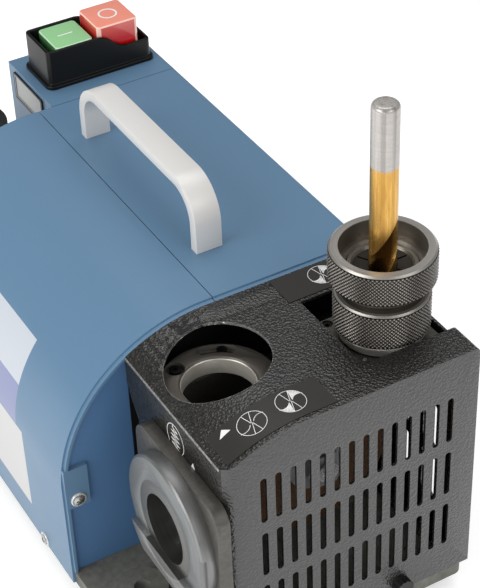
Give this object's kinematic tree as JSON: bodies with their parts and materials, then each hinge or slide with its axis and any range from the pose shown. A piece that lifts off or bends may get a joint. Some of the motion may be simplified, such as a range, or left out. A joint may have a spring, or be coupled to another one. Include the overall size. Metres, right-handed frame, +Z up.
{
  "type": "drill bit sharpener",
  "caption": "Bench drill bit sharpener: blue motor casing with a carrying handle and stop switch, a slotted black guard, ports for a collet chuck and a twist drill.",
  "frame": {"origin": "on the bench under the feet, at the middle of the four bench bolts, which is the middle of the bounding box", "axes": "+X to the operator's right, +Y from the guard back to the cable gland, +Z up"},
  "size_m": [0.184, 0.387, 0.282],
  "materials": {
    "cast_grey": "as cast, mottled grey",
    "foot_rubber": "matt black",
    "bright_screw": "zinc plated",
    "casing_blue": "blue powder coat",
    "bulkhead_blue": "darker blue powder coat",
    "black_screw": "black oxide",
    "plate_metal": "blank plate with a dark edge",
    "handle_metal": "satin anodised",
    "switch_black": "fine matt",
    "button_green": "clear cover over green",
    "button_red": "clear cover over red",
    "guard_hammer": "black hammertone",
    "label_film": "smooth dark film",
    "knob_black": "matt black",
    "port_steel": "turned, slightly dark",
    "flange_steel": "dark blued",
    "disc_steel": "turned face",
    "pin_steel": "ground",
    "seal_black": "matt black",
    "chuck_steel": "knurled, browned",
    "collet_steel": "hardened, dark",
    "drill_gold": "gold coated with a bare shank end",
    "motor_paint": "satin grey",
    "bell_metal": "die cast",
    "copper": "enamelled copper wire",
    "rotor_steel": "stacked sheet",
    "shaft_steel": "ground",
    "fan_plastic": "moulded",
    "bearing_steel": "polished",
    "hub_metal": "turned",
    "wheel_grit": "grit coated rim",
    "capacitor_grey": "moulded",
    "terminal_white": "moulded",
    "wire_brown": "insulated wire",
    "gland_black": "moulded",
    "gauge_black": "satin black"
  },
  "bodies": {
    "machine": {"base_casting": "cast_grey", "rubber_feet": "foot_rubber", "foot_screws": "bright_screw", "left_cover": "casing_blue", "right_cover": "casing_blue", "rear_cover": "casing_blue", "front_bulkhead": "bulkhead_blue", "rear_panel": "casing_blue", "left_rear_panel": "bulkhead_blue", "casing_screws": "black_screw", "data_plate": "plate_metal", "handle": "handle_metal", "handle_screws": "black_screw", "switch_bezel": "switch_black", "switch_body": "switch_black", "guard": "guard_hammer", "guard_label": "label_film", "notch_label": "label_film", "guard_screws": "black_screw", "head_frame": "cast_grey", "frame_screws": "bright_screw", "port1_plate": "flange_steel", "port1_screws": "black_screw", "port2_flange": "flange_steel", "port2_screws": "black_screw", "port3_block": "port_steel", "port3_screws": "black_screw", "locating_pin": "pin_steel", "motor_can": "motor_paint", "motor_front_bell": "bell_metal", "motor_rear_bell": "bell_metal", "motor_cradle": "cast_grey", "motor_tie_bolts": "bright_screw", "motor_windings": "copper", "front_bearing": "bearing_steel", "rear_bearing": "bearing_steel", "capacitor": "capacitor_grey", "terminal_block": "terminal_white", "wiring": "wire_brown", "cable_gland": "gland_black", "gauge_body": "gauge_black"},
    "chuck_seat": {"chuck_seat_ring": "seal_black"},
    "chuck": {"chuck_body": "chuck_steel", "collet": "collet_steel"},
    "clamping_ring": {"clamping_ring": "chuck_steel"},
    "drill": {"twist_drill": "drill_gold"},
    "port1_ring": {"port1_ring": "port_steel"},
    "port2": {"port2_disc": "disc_steel", "port2_sleeve": "port_steel"},
    "spindle": {"motor_shaft": "shaft_steel", "motor_rotor": "rotor_steel", "motor_fan": "fan_plastic", "wheel_hub": "hub_metal", "grinding_wheel": "wheel_grit", "wheel_nut": "bright_screw"},
    "green_button": {"green_button": "button_green"},
    "red_button": {"red_button": "button_red"},
    "gauge_stop": {"gauge_stop": "pin_steel"},
    "gauge_knob": {"gauge_knob": "knob_black"},
    "guard_knob": {"guard_knob": "knob_black"}
  },
  "joints": [
    {"name": "chuck_lift", "type": "slide", "parent": "machine", "child": "chuck_seat", "axis": [0, 0, 1], "range_m": [0, 0.065]},
    {"name": "chuck_turn", "type": "hinge", "parent": "chuck_seat", "child": "chuck", "pos_m": [0.0645, -0.143, 0.16], "axis": [0, 0, 1], "continuous": true},
    {"name": "clamping_ring_turn", "type": "hinge", "parent": "chuck", "child": "clamping_ring", "pos_m": [0.0645, -0.143, 0.19], "axis": [0, 0, 1], "range_deg": [0, 270]},
    {"name": "drill_slide", "type": "slide", "parent": "chuck", "child": "drill", "axis": [0, 0, 1], "range_m": [0, 0.05]},
    {"name": "port1_adjust", "type": "hinge", "parent": "machine", "child": "port1_ring", "pos_m": [-0.0188, -0.1286, 0.14], "axis": [0, 0, 1], "range_deg": [-4, 4]},
    {"name": "port2_adjust", "type": "hinge", "parent": "machine", "child": "port2", "pos_m": [-0.06, -0.1525, 0.092], "axis": [1, 0, 0], "range_deg": [-8, 8]},
    {"name": "wheel_spin", "type": "hinge", "parent": "machine", "child": "spindle", "pos_m": [0.02285, -0.14, 0.092], "axis": [0, 1, 0], "continuous": true},
    {"name": "green_press", "type": "slide", "parent": "machine", "child": "green_button", "axis": [0, 0, -1], "range_m": [0, 0.003], "stiffness_N_per_m": 600, "springref_m": -0.004},
    {"name": "red_press", "type": "slide", "parent": "machine", "child": "red_button", "axis": [0, 0, -1], "range_m": [0, 0.003], "stiffness_N_per_m": 600, "springref_m": -0.004},
    {"name": "gauge_stop_slide", "type": "slide", "parent": "machine", "child": "gauge_stop", "axis": [0, 0, 1], "range_m": [0, 0.012]},
    {"name": "gauge_knob_turn", "type": "hinge", "parent": "gauge_stop", "child": "gauge_knob", "pos_m": [-0.035, 0.18, 0.0927], "axis": [0, 1, 0], "range_deg": [0, 180]},
    {"name": "guard_knob_turn", "type": "hinge", "parent": "machine", "child": "guard_knob", "pos_m": [0.048, -0.19, 0.024], "axis": [0, -1, 0], "range_deg": [0, 360]}
  ]
}
